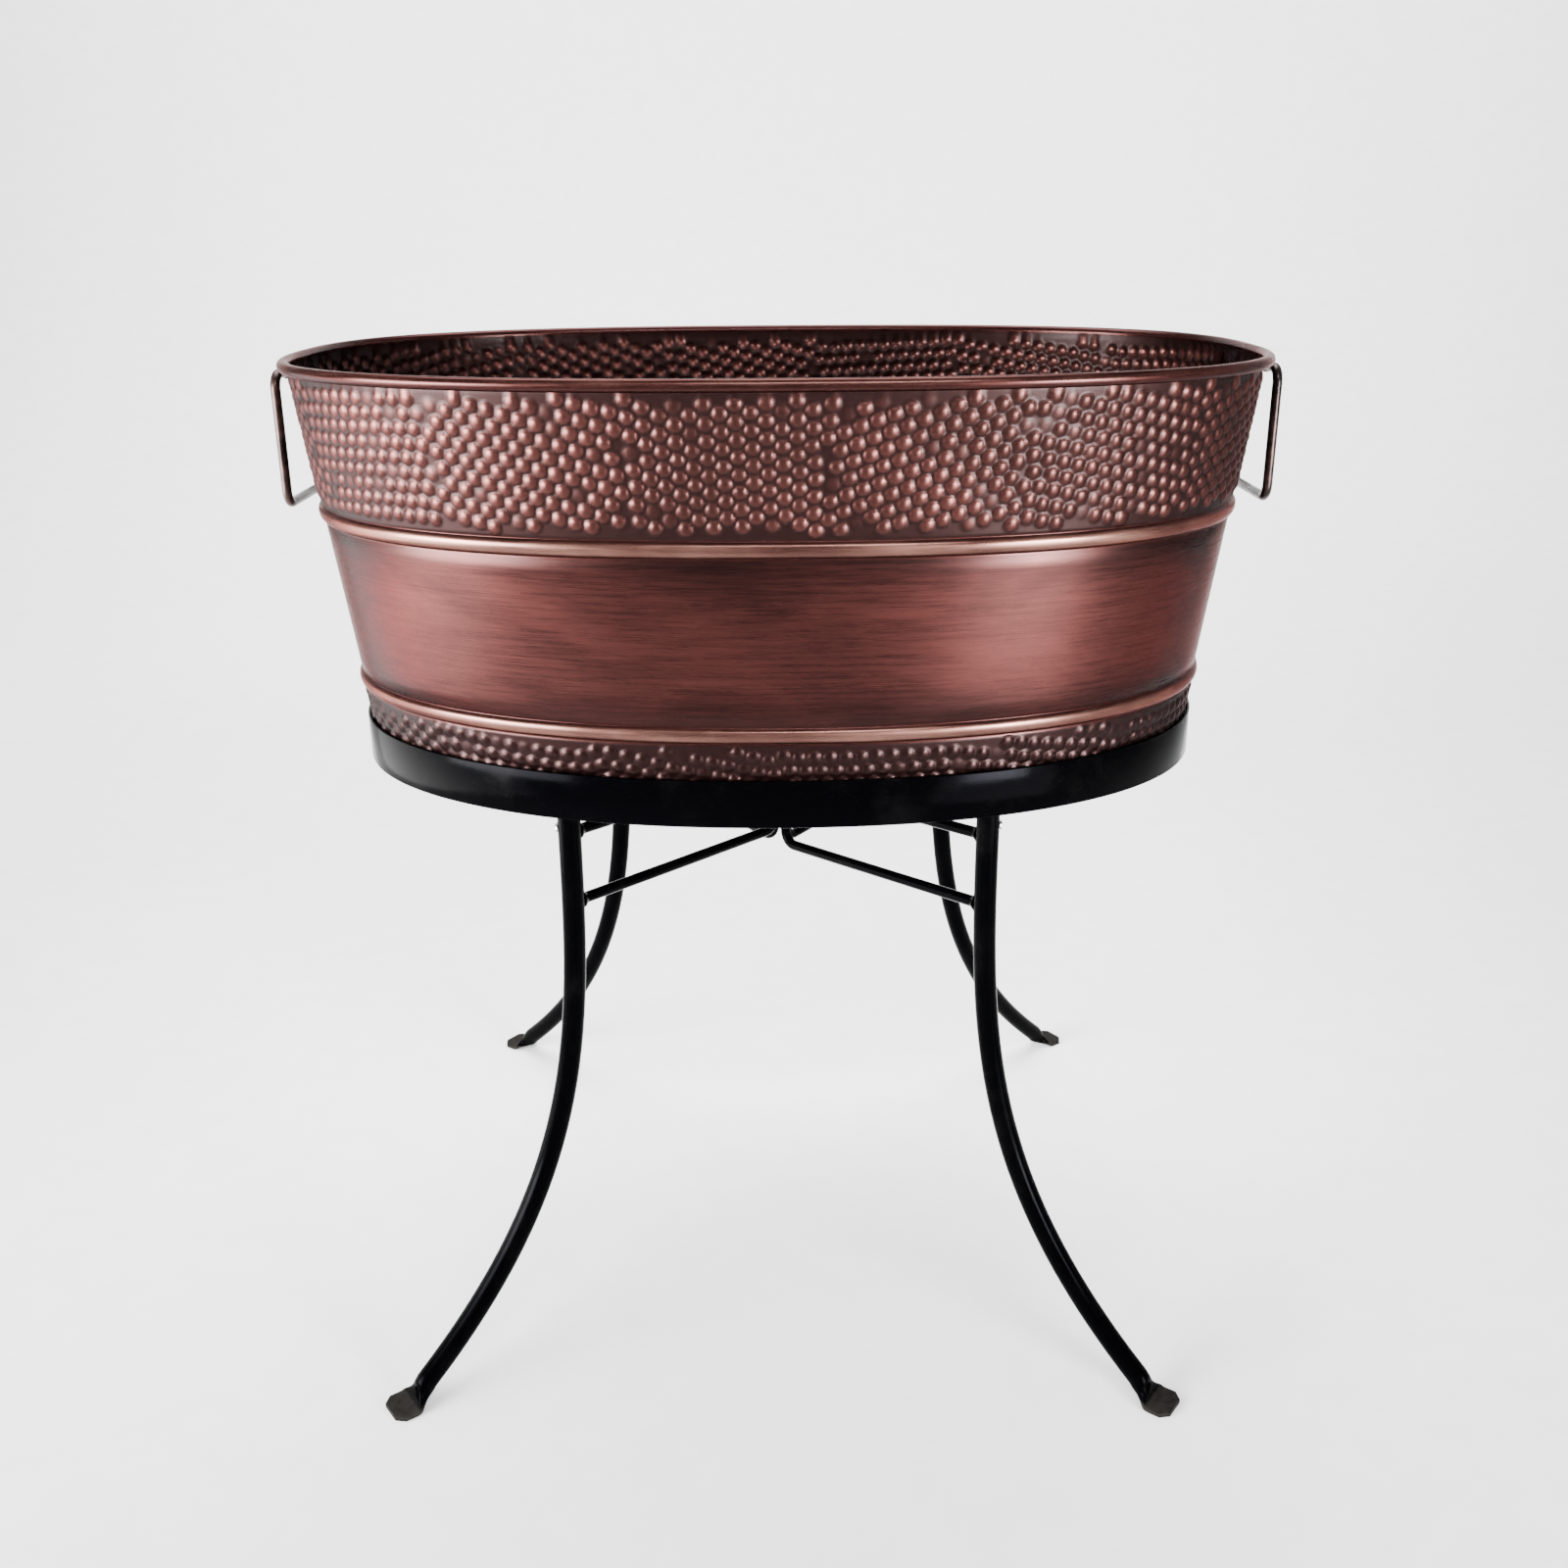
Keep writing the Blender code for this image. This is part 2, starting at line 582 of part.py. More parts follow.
def build_hub_collar(collection):
    """A strap collar that gathers the uprights of the four braces."""
    direction = Vector((LEG_X, LEG_Y, 0)).normalized()
    half_x = direction.x * HUB_RADIUS + ROD_RADIUS + GAP
    half_y = direction.y * HUB_RADIUS + ROD_RADIUS + GAP

    def loop(grow, height):
        corners = [Vector((x * (half_x + grow), y * (half_y + grow), height))
                   for x, y in ((-1, -1), (1, -1), (1, 1), (-1, 1))]
        return rounded_path(corners, ROD_RADIUS + grow, 4, closed=True)

    low, high = COLLAR_HEIGHTS
    loops = [loop(0, low), loop(COLLAR_STRAP, low), loop(COLLAR_STRAP, high), loop(0, high)]
    return object_from_bmesh("hub_collar", loft(loops, closed_profile=True), collection, BLACK)


def main():
    clear_scene()
    parts = new_collection("champagne_bucket_stand")
    tools = new_collection("cutters")
    build_wall(parts)
    build_rim_wire(parts)
    build_floor(parts)
    for hand, side in (("left", -1), ("right", 1)):
        build_ear(f"handle_ear_{hand}", side, parts, tools)
        for place, along in (("front", -RIVET_Y), ("back", RIVET_Y)):
            build_rivet(f"ear_rivet_{hand}_{place}", side, along, parts)
        build_handle(f"handle_{hand}", side, parts)
        build_cross_bar(f"cross_bar_{hand}", side, parts, tools)
    build_ring(parts)
    build_hub_collar(parts)
    for corner, side_x, side_y in QUADRANTS:
        build_spigot(f"spigot_{corner}", side_x, side_y, parts, tools)
        build_leg(f"leg_{corner}", side_x, side_y, parts, tools)
        build_leg_screw(f"leg_screw_{corner}", side_x, side_y, parts)
        build_brace(f"brace_{corner}", side_x, side_y, parts)


main()
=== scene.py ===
"""Looks for the champagne bucket stand: a hammered copper-finish tub with drop handles on a black
tube stand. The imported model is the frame; metres, +Z up, +X towards the right handle.
"""

import math

import bmesh
import bpy
import numpy as np
from mathutils import Matrix, Vector


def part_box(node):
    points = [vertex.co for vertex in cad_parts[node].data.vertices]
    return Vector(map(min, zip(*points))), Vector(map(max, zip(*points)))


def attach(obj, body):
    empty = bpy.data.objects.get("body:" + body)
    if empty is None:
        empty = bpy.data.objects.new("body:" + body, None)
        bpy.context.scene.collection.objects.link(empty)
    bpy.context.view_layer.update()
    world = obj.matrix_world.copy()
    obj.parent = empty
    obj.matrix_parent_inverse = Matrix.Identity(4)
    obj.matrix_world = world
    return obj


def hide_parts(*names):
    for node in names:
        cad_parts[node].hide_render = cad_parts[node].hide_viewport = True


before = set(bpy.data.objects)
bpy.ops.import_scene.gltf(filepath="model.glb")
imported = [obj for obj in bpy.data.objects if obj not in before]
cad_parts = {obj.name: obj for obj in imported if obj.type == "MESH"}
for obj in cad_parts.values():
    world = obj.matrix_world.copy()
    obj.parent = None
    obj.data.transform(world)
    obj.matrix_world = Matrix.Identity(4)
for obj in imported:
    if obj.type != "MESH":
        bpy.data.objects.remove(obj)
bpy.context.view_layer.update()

# ---------------------------------------------------------------- sizes, from the frame where it has them
WALL_LOW, WALL_HIGH = (Vector(corner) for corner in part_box("tub_wall"))
RING_LOW, RING_BAND_HIGH = (Vector(corner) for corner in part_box("ring_band"))

RIM_HALF_LENGTH = WALL_HIGH.x
RIM_HALF_WIDTH = WALL_HIGH.y
RIM_TOP = WALL_HIGH.z
TUB_BASE = WALL_LOW.z
RIM_ROLL_RADIUS = 0.0036
WALL_INSET = 0.0055              # rim outside to wall outside, at the rim
WALL_TAPER = 0.1138              # inward slope of the wall, per metre of height
SHEET = 0.001
RIM_ROUNDNESS = 2.6              # exponents of the oval
BASE_ROUNDNESS = 2.15
RIB_HEIGHTS = (0.4296, 0.5395)
RIB_HALF_HEIGHT = 0.0041
RIB_DEPTH = 0.0026
GROOVE_DEPTH = 0.0005            # crease on each side of a rib
GROOVE_REACH = 1.5               # where the crease ends, in rib half heights
WALL_COLUMNS = 1100
FINE_ROW = 0.00135               # height of a row of the mesh in the hammered bands
COARSE_ROW = 0.009

DOME_PITCH = 0.0092
DOME_RADIUS = 0.0041
DOME_HEIGHT = 0.0016
PATCH_LENGTH = 0.105             # about how far one pattern of domes runs before it turns
HAMMERED_TOP = RIM_TOP - 2.3 * RIM_ROLL_RADIUS
DOME_BASE_GAP = 0.0150           # from the wall's lower edge to the lowest domes' centres
DOME_RIB_GAP = 0.0105
DOME_TOP_GAP = 0.0028
DOME_LIMITS = ((TUB_BASE + DOME_BASE_GAP, RIB_HEIGHTS[0] - DOME_RIB_GAP),
               (RIB_HEIGHTS[1] + DOME_RIB_GAP, HAMMERED_TOP - DOME_TOP_GAP))
DOME_JITTER = 0.0005             # how far a dome's centre strays by chance
SPACING_ROUNDS = 24              # times that domes closer than the pitch push each other apart
SPACING_PUSH = 0.35
EDGE_WAVE = 0.0012               # the lowest domes of a band don't stand in one straight row
EDGE_WAVES = 9
WEAK_DOMES = 0.08                # share of the domes that were struck lightly

ROLL_CREST = 0.42                # how much of the roll's crest is rubbed bright
SEAM_Y = 0.045                   # where the rim's two ends meet, at the right end of the tub
SEAM_LINE = 0.0016               # half width of the dark line there
SEAM_WIDTH = 0.011               # of the strip where the wall's ends overlap
SEAM_START = 0.012               # from the wall's lower edge to the strip's
SEAM_STAND = 0.0009              # how far the strip stands off the inside of the wall
FLOOR_EDGE = (                   # inset from the wall and height below the floor's top, outside in
    (0.0007, -0.0055), (0.0007, -0.0034), (0.0016, -0.0012), (0.0040, -0.0003), (0.0075, 0.0),
    (0.0160, 0.0), (0.0185, -0.0008), (0.0210, -0.0008), (0.0235, 0.0), (0.06, 0.0), (0.11, 0.0),
)

RING_HALF_LENGTH = RING_BAND_HIGH.x
RING_HALF_WIDTH = RING_BAND_HIGH.y
RING_TOP = RING_BAND_HIGH.z
RING_BOTTOM = RING_LOW.z
STRAP = 0.002
RING_COLUMNS = 360
STRAP_EDGE = 0.0005              # rounding of the strap's edges

LEG_RADIUS = 0.007
LEG_SIDES = 28
LEG_TOP = Vector(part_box("leg_back_right")[1]).z
LEG_X = 0.1268
LEG_Y = 0.1497
LEG_BEND_TOP = 0.3736
SPLAY_ANGLE = math.radians(36.5)
SPLAY_REACH = 0.140
SPLAY_START = 0.03
SPLAY_POWER = 3.246
TUBE_BOTTOM = 0.0135             # below this the tube is pinched flat
FOOT_HEEL = 0.1330
FOOT_BEND = 0.0045
FOOT_END = 0.150
FOOT_HALF_WIDTH = 0.0128
FOOT_HALF_THICKNESS = 0.0016
FOOT_CLIP = 0.005
SCUFF_HEIGHT = 2.6 * FOOT_HALF_THICKNESS

ROD_RADIUS = 0.0035
BRACE_LOW_AT_LEG = 0.3085
BRACE_LOW_AT_HUB = 0.2925
BRACE_SPREAD = 0.046
BRACE_BEND = 0.009
RAISED_AT_LEG = 0.004
RAISED_AT_HUB = 0.011
HUB_RADIUS = 0.0064
WELD_SIDES = 20
WELD_BEAD = ((0.0, 0.0056), (0.0012, 0.0052), (0.0024, 0.0044), (0.0036, 0.0036), (0.0044, 0.0033))

HANDLE_ROD = 0.003
HANDLE_CORNER = 0.009
QUADRANTS = (("front_left", -1, -1), ("front_right", 1, -1), ("back_left", -1, 1), ("back_right", 1, 1))

FLOOR_REACH = 2.4
COVE_RADIUS = 1.4
STUDIO_HEIGHT = 4.5
STUDIO_SIDES = 96
WORLD_STRENGTH = 0.35
LIGHTS = (                       # name, place, size, power, spread in degrees, target
    ("card_left", (-1.02, -0.12, 0.30), (1.35, 0.60), 12, 100, (0, -0.05, 0.70)),
    ("card_right", (0.68, -0.78, 0.20), (0.50, 0.36), 2.3, 100, (0.145, -0.19, 0.48)),
    ("panel_left", (-1.30, -0.88, 0.55), (1.0, 0.7), 38, 70, (0, -0.05, 0.50)),
    ("panel_right", (1.15, -1.35, 0.45), (0.45, 0.6), 16, 60, (0.1, -0.15, 0.50)),
    ("front_top", (0.25, -1.6, 1.9), (1.0, 0.10), 3.5, 50, (0, -0.1, 0.42)),
    ("overhead", (-0.3, 1.1, 2.8), (2.4, 1.4), 95, 105, (-0.3, 1.1, 0)),
    ("backdrop", (0, 1.6, 2.9), (3.0, 0.5), 120, 110, (0, 3.6, 0.9)),
)

CAMERA_PLACE = (0.0056, -1.0339, 0.7101)
CAMERA_AZIMUTH = math.radians(0.138)
CAMERA_PITCH = math.radians(19.945)
CAMERA_ROLL = math.radians(-0.399)
CAMERA_SENSOR = 36.0
CAMERA_LENS = 36.0

collection = bpy.data.collections.new("looks")
bpy.context.scene.collection.children.link(collection)


# ---------------------------------------------------------------- node helpers
class Nodes:
    """A material's node tree, with short calls for the nodes that the materials share."""

    def __init__(self, name):
        self.material = bpy.data.materials.new(name)
        self.material.use_nodes = True
        self.tree = self.material.node_tree
        self.shader = self.tree.nodes["Principled BSDF"]

    def add(self, kind, **settings):
        node = self.tree.nodes.new(kind)
        for name, value in settings.items():
            setattr(node, name, value)
        return node

    def link(self, source, target):
        self.tree.links.new(source, target)

    def feed(self, target, value):
        if isinstance(value, bpy.types.NodeSocket):
            self.link(value, target)
        else:
            target.default_value = value

    def attribute(self, name, output="Fac"):
        return self.add("ShaderNodeAttribute", attribute_name=name).outputs[output]

    def object_coordinates(self):
        return self.add("ShaderNodeTexCoord").outputs["Object"]

    def scaled(self, vector, scale):
        mapping = self.add("ShaderNodeMapping")
        self.link(vector, mapping.inputs["Vector"])
        mapping.inputs["Scale"].default_value = scale
        return mapping.outputs["Vector"]

    def noise(self, vector, scale, detail=3.0, roughness=0.55, distortion=0.0):
        node = self.add("ShaderNodeTexNoise")
        self.link(vector, node.inputs["Vector"])
        node.inputs["Scale"].default_value = scale
        node.inputs["Detail"].default_value = detail
        node.inputs["Roughness"].default_value = roughness
        node.inputs["Distortion"].default_value = distortion
        return node.outputs["Fac"]

    def part(self, vector, axis):
        split = self.add("ShaderNodeSeparateXYZ")
        self.link(vector, split.inputs[0])
        return split.outputs[axis]

    def remap(self, value, low, high, to_low=0.0, to_high=1.0):
        node = self.add("ShaderNodeMapRange")
        node.interpolation_type = "SMOOTHSTEP"
        self.feed(node.inputs["Value"], value)
        node.inputs["From Min"].default_value = low
        node.inputs["From Max"].default_value = high
        node.inputs["To Min"].default_value = to_low
        node.inputs["To Max"].default_value = to_high
        return node.outputs["Result"]

    def math(self, operation, first, second=0.0):
        node = self.add("ShaderNodeMath", operation=operation)
        self.feed(node.inputs[0], first)
        self.feed(node.inputs[1], second)
        return node.outputs[0]

    def centred(self, noise, strength):
        """Noise about zero, for adding to a level."""
        return self.math("MULTIPLY", self.math("SUBTRACT", noise, 0.5), strength)

    def mix(self, factor, first, second):
        node = self.add("ShaderNodeMix", data_type="RGBA")
        self.feed(node.inputs["Factor"], factor)
        self.feed(node.inputs["A"], (*first, 1.0) if isinstance(first, tuple) else first)
        self.feed(node.inputs["B"], (*second, 1.0) if isinstance(second, tuple) else second)
        return node.outputs["Result"]

    def bump(self, height, strength, distance):
        node = self.add("ShaderNodeBump")
        self.link(height, node.inputs["Height"])
        node.inputs["Strength"].default_value = strength
        node.inputs["Distance"].default_value = distance
        self.link(node.outputs["Normal"], self.shader.inputs["Normal"])

    def finish(self, colour, roughness, metallic, **sockets):
        self.feed(self.shader.inputs["Base Color"], colour)
        self.feed(self.shader.inputs["Roughness"], roughness)
        self.feed(self.shader.inputs["Metallic"], metallic)
        for name, value in sockets.items():
            self.shader.inputs[name.replace("_", " ")].default_value = value
        return self.material


# ---------------------------------------------------------------- materials
COPPER_DOME = (0.056, 0.0185, 0.0157)
COPPER_DOME_DULL = (0.031, 0.0105, 0.0090)
COPPER_GROUND = (0.0095, 0.0037, 0.0035)
COPPER_BRIGHT = (0.050, 0.0140, 0.0122)
COPPER_MID = (0.024, 0.0066, 0.0058)
COPPER_DARK = (0.0120, 0.0038, 0.0035)
# painted shade: the colour that the lower hammered band is darkened towards
COPPER_PAINTED_SHADE = (0.0075, 0.0026, 0.0025)
COPPER_RUBBED = (0.135, 0.064, 0.050)
COPPER_RUBBED_DULL = (0.062, 0.026, 0.021)
EDGE_TINT = (0.40, 0.22, 0.20, 1.0)
BLACK_EDGE_TINT = (0.14, 0.14, 0.15, 1.0)
SCUFFED_BLACK = (0.015, 0.0137, 0.0123)


def hammered_copper():
    """Antique copper whose domes are rubbed bright and whose valleys keep the dark patina; the lower band
    is painted darker as shade.
    """
    m = Nodes("hammered_copper")
    wrap = m.attribute("wrap", "Vector")
    crest = m.attribute("crest")
    patches = m.noise(wrap, 9.0, 3.0, 0.5)
    mottle = m.noise(wrap, 160.0, 4.0, 0.6)
    rubbed = m.remap(m.math("ADD", crest, m.centred(mottle, 0.4)), 0.0, 0.75)
    dome = m.mix(m.remap(patches, 0.35, 0.65), COPPER_DOME_DULL, COPPER_DOME)
    colour = m.mix(rubbed, COPPER_GROUND, dome)
    # Painted shade: the whole lower hammered band is darkened for the shade it sits in and the dark stand
    # it mirrors
    lower_band_shade = m.remap(m.part(wrap, "Y"), RIB_HEIGHTS[0], RIB_HEIGHTS[1], 0.94, 0.0)
    colour = m.mix(lower_band_shade, colour, COPPER_PAINTED_SHADE)
    scratches = m.noise(m.scaled(wrap, (60, 900, 1)), 1.0, 3.0, 0.6)
    roughness = m.math("ADD", m.remap(rubbed, 0, 1, 0.46, 0.33), m.remap(scratches, 0.3, 0.7, -0.04, 0.05))
    m.bump(m.math("ADD", mottle, m.math("MULTIPLY", scratches, 0.6)), 0.25, 0.0002)
    return m.finish(colour, roughness, 0.92, Coat_Weight=0.10, Coat_Roughness=0.3, Specular_Tint=EDGE_TINT)


def brushed_copper():
    """The smooth band: horizontal brushing, cloudy bright patches, and patina towards the ribs."""
    m = Nodes("brushed_copper")
    wrap = m.attribute("wrap", "Vector")
    rub = m.attribute("crest")
    clouds = m.noise(m.scaled(wrap, (9, 22, 1)), 1.0, 4.0, 0.6, 0.6)
    wide_strokes = m.noise(m.scaled(wrap, (16, 420, 1)), 1.0, 5.0, 0.65)
    fine_strokes = m.noise(m.scaled(wrap, (45, 2600, 1)), 1.0, 3.0, 0.6)
    level = m.math("ADD", m.math("MULTIPLY", clouds, 0.9), m.math("MULTIPLY", wide_strokes, 0.5))
    level = m.math("ADD", level, m.math("MULTIPLY", rub, 0.42))
    colour = m.mix(m.remap(level, 0.55, 1.0), COPPER_DARK, COPPER_MID)
    colour = m.mix(m.remap(level, 0.85, 1.35), colour, COPPER_BRIGHT)
    roughness = m.remap(wide_strokes, 0.3, 0.7, 0.25, 0.33)
    roughness = m.math("ADD", roughness, m.remap(fine_strokes, 0.3, 0.7, -0.05, 0.05))
    m.bump(m.math("ADD", fine_strokes, m.math("MULTIPLY", wide_strokes, 0.4)), 0.22, 0.00015)
    return m.finish(colour, roughness, 0.92, Coat_Weight=0.10, Coat_Roughness=0.28, Specular_Tint=EDGE_TINT)


def polished_copper():
    """The rim and ribs, rubbed brightest along their crests."""
    m = Nodes("polished_copper")
    wrap = m.attribute("wrap", "Vector")
    crest = m.attribute("crest")
    streaks = m.noise(m.scaled(wrap, (25, 500, 1)), 1.0, 4.0, 0.6)
    patches = m.noise(wrap, 14.0, 3.0, 0.5)
    rubbed = m.remap(m.math("ADD", crest, m.centred(streaks, 0.6)), 0.15, 1.0)
    bright = m.mix(m.remap(patches, 0.35, 0.65), COPPER_RUBBED_DULL, COPPER_RUBBED)
    colour = m.mix(rubbed, COPPER_MID, bright)
    colour = m.mix(m.remap(m.attribute("seam"), 0.45, 0.9), colour, COPPER_DARK)
    roughness = m.remap(streaks, 0.3, 0.7, 0.24, 0.36)
    m.bump(streaks, 0.15, 0.00015)
    return m.finish(colour, roughness, 0.92, Coat_Weight=0.12, Coat_Roughness=0.2, Specular_Tint=EDGE_TINT)


def floor_copper():
    """The tub's floor: brushed along its length."""
    m = Nodes("floor_copper")
    place = m.object_coordinates()
    strokes = m.noise(m.scaled(place, (14, 500, 1)), 1.0, 4.0, 0.6)
    clouds = m.noise(place, 9.0, 3.0, 0.5)
    level = m.math("ADD", m.math("MULTIPLY", strokes, 0.5), clouds)
    colour = m.mix(m.remap(level, 0.5, 1.0), COPPER_DARK, COPPER_MID)
    m.bump(strokes, 0.2, 0.0002)
    return m.finish(colour, m.remap(strokes, 0.3, 0.7, 0.34, 0.46), 0.92, Specular_Tint=EDGE_TINT)


def dark_bronze():
    """Handles, ears and rivets: a dark bronze finish that is rubbed in streaks."""
    m = Nodes("dark_bronze")
    place = m.object_coordinates()
    blotches = m.noise(place, 70.0, 4.0, 0.6)
    grain = m.noise(place, 900.0, 3.0, 0.6)
    colour = m.mix(m.remap(blotches, 0.35, 0.7), (0.008, 0.0052, 0.0050), (0.042, 0.024, 0.021))
    m.bump(m.math("ADD", grain, blotches), 0.2, 0.0002)
    return m.finish(colour, m.remap(blotches, 0.3, 0.7, 0.26, 0.4), 0.85)


def black_coat(name="black_coat", scuffed_below=0.0):
    """Semi-gloss black powder coat with fine orange peel and dusty places; low parts can be scuffed."""
    m = Nodes(name)
    place = m.object_coordinates()
    peel = m.noise(place, 620.0, 2.0, 0.5)
    swell = m.noise(place, 90.0, 2.0, 0.5)
    dust = m.remap(m.noise(place, 24.0, 5.0, 0.65), 0.5, 0.8)
    colour = m.mix(dust, (0.0005, 0.0005, 0.0007), (0.0018, 0.0017, 0.0018))
    roughness = m.math("ADD", m.remap(swell, 0.3, 0.7, 0.11, 0.16), m.math("MULTIPLY", dust, 0.15))
    if scuffed_below:
        rise = m.remap(m.part(place, "Z"), 0.8 * scuffed_below, 1.2 * scuffed_below, 1.0, 0.0)
        scuffs = m.math("MULTIPLY", rise, m.remap(m.noise(place, 220.0, 4.0, 0.6), 0.3, 0.6, 0.55, 1.0))
        colour = m.mix(scuffs, colour, SCUFFED_BLACK)
        roughness = m.math("ADD", roughness, m.math("MULTIPLY", scuffs, 0.3))
    m.bump(m.math("ADD", peel, m.math("MULTIPLY", swell, 2.0)), 0.08, 0.0002)
    return m.finish(colour, roughness, 0.4, Specular_IOR_Level=0.03, Specular_Tint=BLACK_EDGE_TINT)


def zinc_steel():
    m = Nodes("zinc_steel")
    place = m.object_coordinates()
    spangle = m.noise(place, 300.0, 3.0, 0.5)
    colour = m.mix(spangle, (0.33, 0.33, 0.34), (0.52, 0.52, 0.53))
    m.bump(spangle, 0.1, 0.0001)
    return m.finish(colour, m.remap(spangle, 0.3, 0.7, 0.28, 0.4), 1.0)


def pale_floor():
    m = Nodes("pale_floor")
    grain = m.noise(m.object_coordinates(), 30.0, 3.0, 0.5)
    colour = m.mix(m.remap(grain, 0.3, 0.7), (0.86, 0.86, 0.86), (0.89, 0.89, 0.89))
    return m.finish(colour, 0.75, 0.0)


# ---------------------------------------------------------------- mesh helpers
def shown(name, mesh, *materials):
    obj = bpy.data.objects.new(name, mesh)
    collection.objects.link(obj)
    for material in materials:
        obj.data.materials.append(material)
    return obj


def mesh_from_bmesh(name, bm, smooth_angle=40):
    bmesh.ops.recalc_face_normals(bm, faces=bm.faces)
    mesh = bpy.data.meshes.new(name)
    bm.to_mesh(mesh)
    bm.free()
    mesh.shade_smooth()
    mesh.set_sharp_from_angle(angle=math.radians(smooth_angle))
    return mesh


def loft(loops, closed_profile=False, cap_first=False, cap_last=False):
    """Quads between loops that have the same number of points, with optional caps."""
    bm = bmesh.new()
    rows = [[bm.verts.new(point) for point in loop] for loop in loops]
    pairs = list(zip(rows, rows[1:]))
    if closed_profile:
        pairs.append((rows[-1], rows[0]))
    for lower, upper in pairs:
        for index in range(len(lower)):
            following = (index + 1) % len(lower)
            bm.faces.new((lower[index], lower[following], upper[following], upper[index]))
    if cap_first:
        bm.faces.new(rows[0])
    if cap_last:
        bm.faces.new(rows[-1])
    return bm


def smoothstep(value, low, high):
    share = np.clip((value - low) / (high - low), 0.0, 1.0)
    return share * share * (3 - 2 * share)


# ---------------------------------------------------------------- ovals
def oval(half_length, half_width, roundness, columns):
    """Points spaced evenly along an oval's outline, its outward normals, and its length."""
    angles = np.linspace(0, 2 * math.pi, 8001)
    cosine = np.cos(angles)
    sine = np.sin(angles)
    x = half_length * np.sign(cosine) * np.abs(cosine) ** (2 / roundness)
    y = half_width * np.sign(sine) * np.abs(sine) ** (2 / roundness)
    lengths = np.concatenate(([0.0], np.cumsum(np.hypot(np.diff(x), np.diff(y)))))
    places = np.linspace(0, lengths[-1], columns, endpoint=False)
    points = np.stack((np.interp(places, lengths, x), np.interp(places, lengths, y)), axis=1)
    ahead = np.roll(points, -1, axis=0) - np.roll(points, 1, axis=0)
    ahead /= np.linalg.norm(ahead, axis=1, keepdims=True)
    normals = np.stack((ahead[:, 1], -ahead[:, 0]), axis=1)
    return points, normals, lengths[-1]


def tub_roundness(height):
    share = min(max((height - TUB_BASE) / (RIM_TOP - TUB_BASE), 0.0), 1.0)
    return BASE_ROUNDNESS + (RIM_ROUNDNESS - BASE_ROUNDNESS) * share


def tub_oval(inset, height, columns=WALL_COLUMNS):
    return oval(RIM_HALF_LENGTH - inset, RIM_HALF_WIDTH - inset, tub_roundness(height), columns)


def wall_inset(height):
    return WALL_INSET + WALL_TAPER * (RIM_TOP - height)


# ---------------------------------------------------------------- the hammered wall
def turned_patches(around, limits, chance):
    """Domes in close-packed patches, each patch turned its own way, all round one band."""
    low, high = limits
    patches = round(around / PATCH_LENGTH)
    length = around / patches
    reach = int(length / DOME_PITCH) + 2
    column, row = np.meshgrid(np.arange(-reach, reach + 1), np.arange(-reach, reach + 1))
    across = ((column + 0.5 * (row % 2)) * DOME_PITCH).ravel()
    up = (row * DOME_PITCH * math.sqrt(0.75)).ravel()
    centres = []
    for patch in range(patches):
        turn = chance.uniform(0, math.pi / 3)
        x = across * math.cos(turn) - up * math.sin(turn)
        z = across * math.sin(turn) + up * math.cos(turn) + (low + high) / 2
        inside = (np.abs(x) < length / 2) & (z > low) & (z < high)
        centres.append(np.column_stack((x[inside] + patch * length, z[inside])))
    return np.concatenate(centres)


def scatter_domes(around, limits, seed):
    """Each dome's share of the way round, height, radius and strength, spaced as by hand."""
    chance = np.random.default_rng(seed)
    centres = turned_patches(around, limits, chance)
    centres += chance.normal(0, DOME_JITTER, centres.shape)
    for _ in range(SPACING_ROUNDS):
        apart = centres[:, None, :] - centres[None, :, :]
        apart[:, :, 0] -= around * np.round(apart[:, :, 0] / around)
        distance = np.hypot(apart[:, :, 0], apart[:, :, 1])
        np.fill_diagonal(distance, DOME_PITCH)
        push = np.clip(DOME_PITCH - distance, 0, None) / distance
        centres += SPACING_PUSH * (push[:, :, None] * apart).sum(axis=1)
        uneven = EDGE_WAVE * (1 + np.sin(2 * EDGE_WAVES * math.pi * centres[:, 0] / around))
        centres[:, 1] = np.clip(centres[:, 1], limits[0] + uneven, limits[1])
    count = len(centres)
    radius = DOME_RADIUS * chance.uniform(0.93, 1.04, count)
    weak = chance.random(count) < WEAK_DOMES
    strength = np.where(weak, chance.uniform(0.2, 0.6, count), chance.uniform(0.85, 1, count))
    return np.column_stack((np.mod(centres[:, 0] / around, 1), centres[:, 1], radius, strength))


def dome_relief(along, height, around, domes):
    """Height from 0 to 1 of the hammered domes along one row of the wall's mesh."""
    near = domes[np.abs(domes[:, 1] - height) < 1.1 * DOME_RADIUS]
    across = np.abs(along[:, None] - near[None, :, 0])
    across = np.minimum(across, 1 - across) * around
    distance = np.hypot(across, height - near[None, :, 1]) / near[None, :, 2]
    return (near[None, :, 3] * np.clip(1 - distance ** 2, 0, 1) ** 0.6).max(axis=1, initial=0.0)


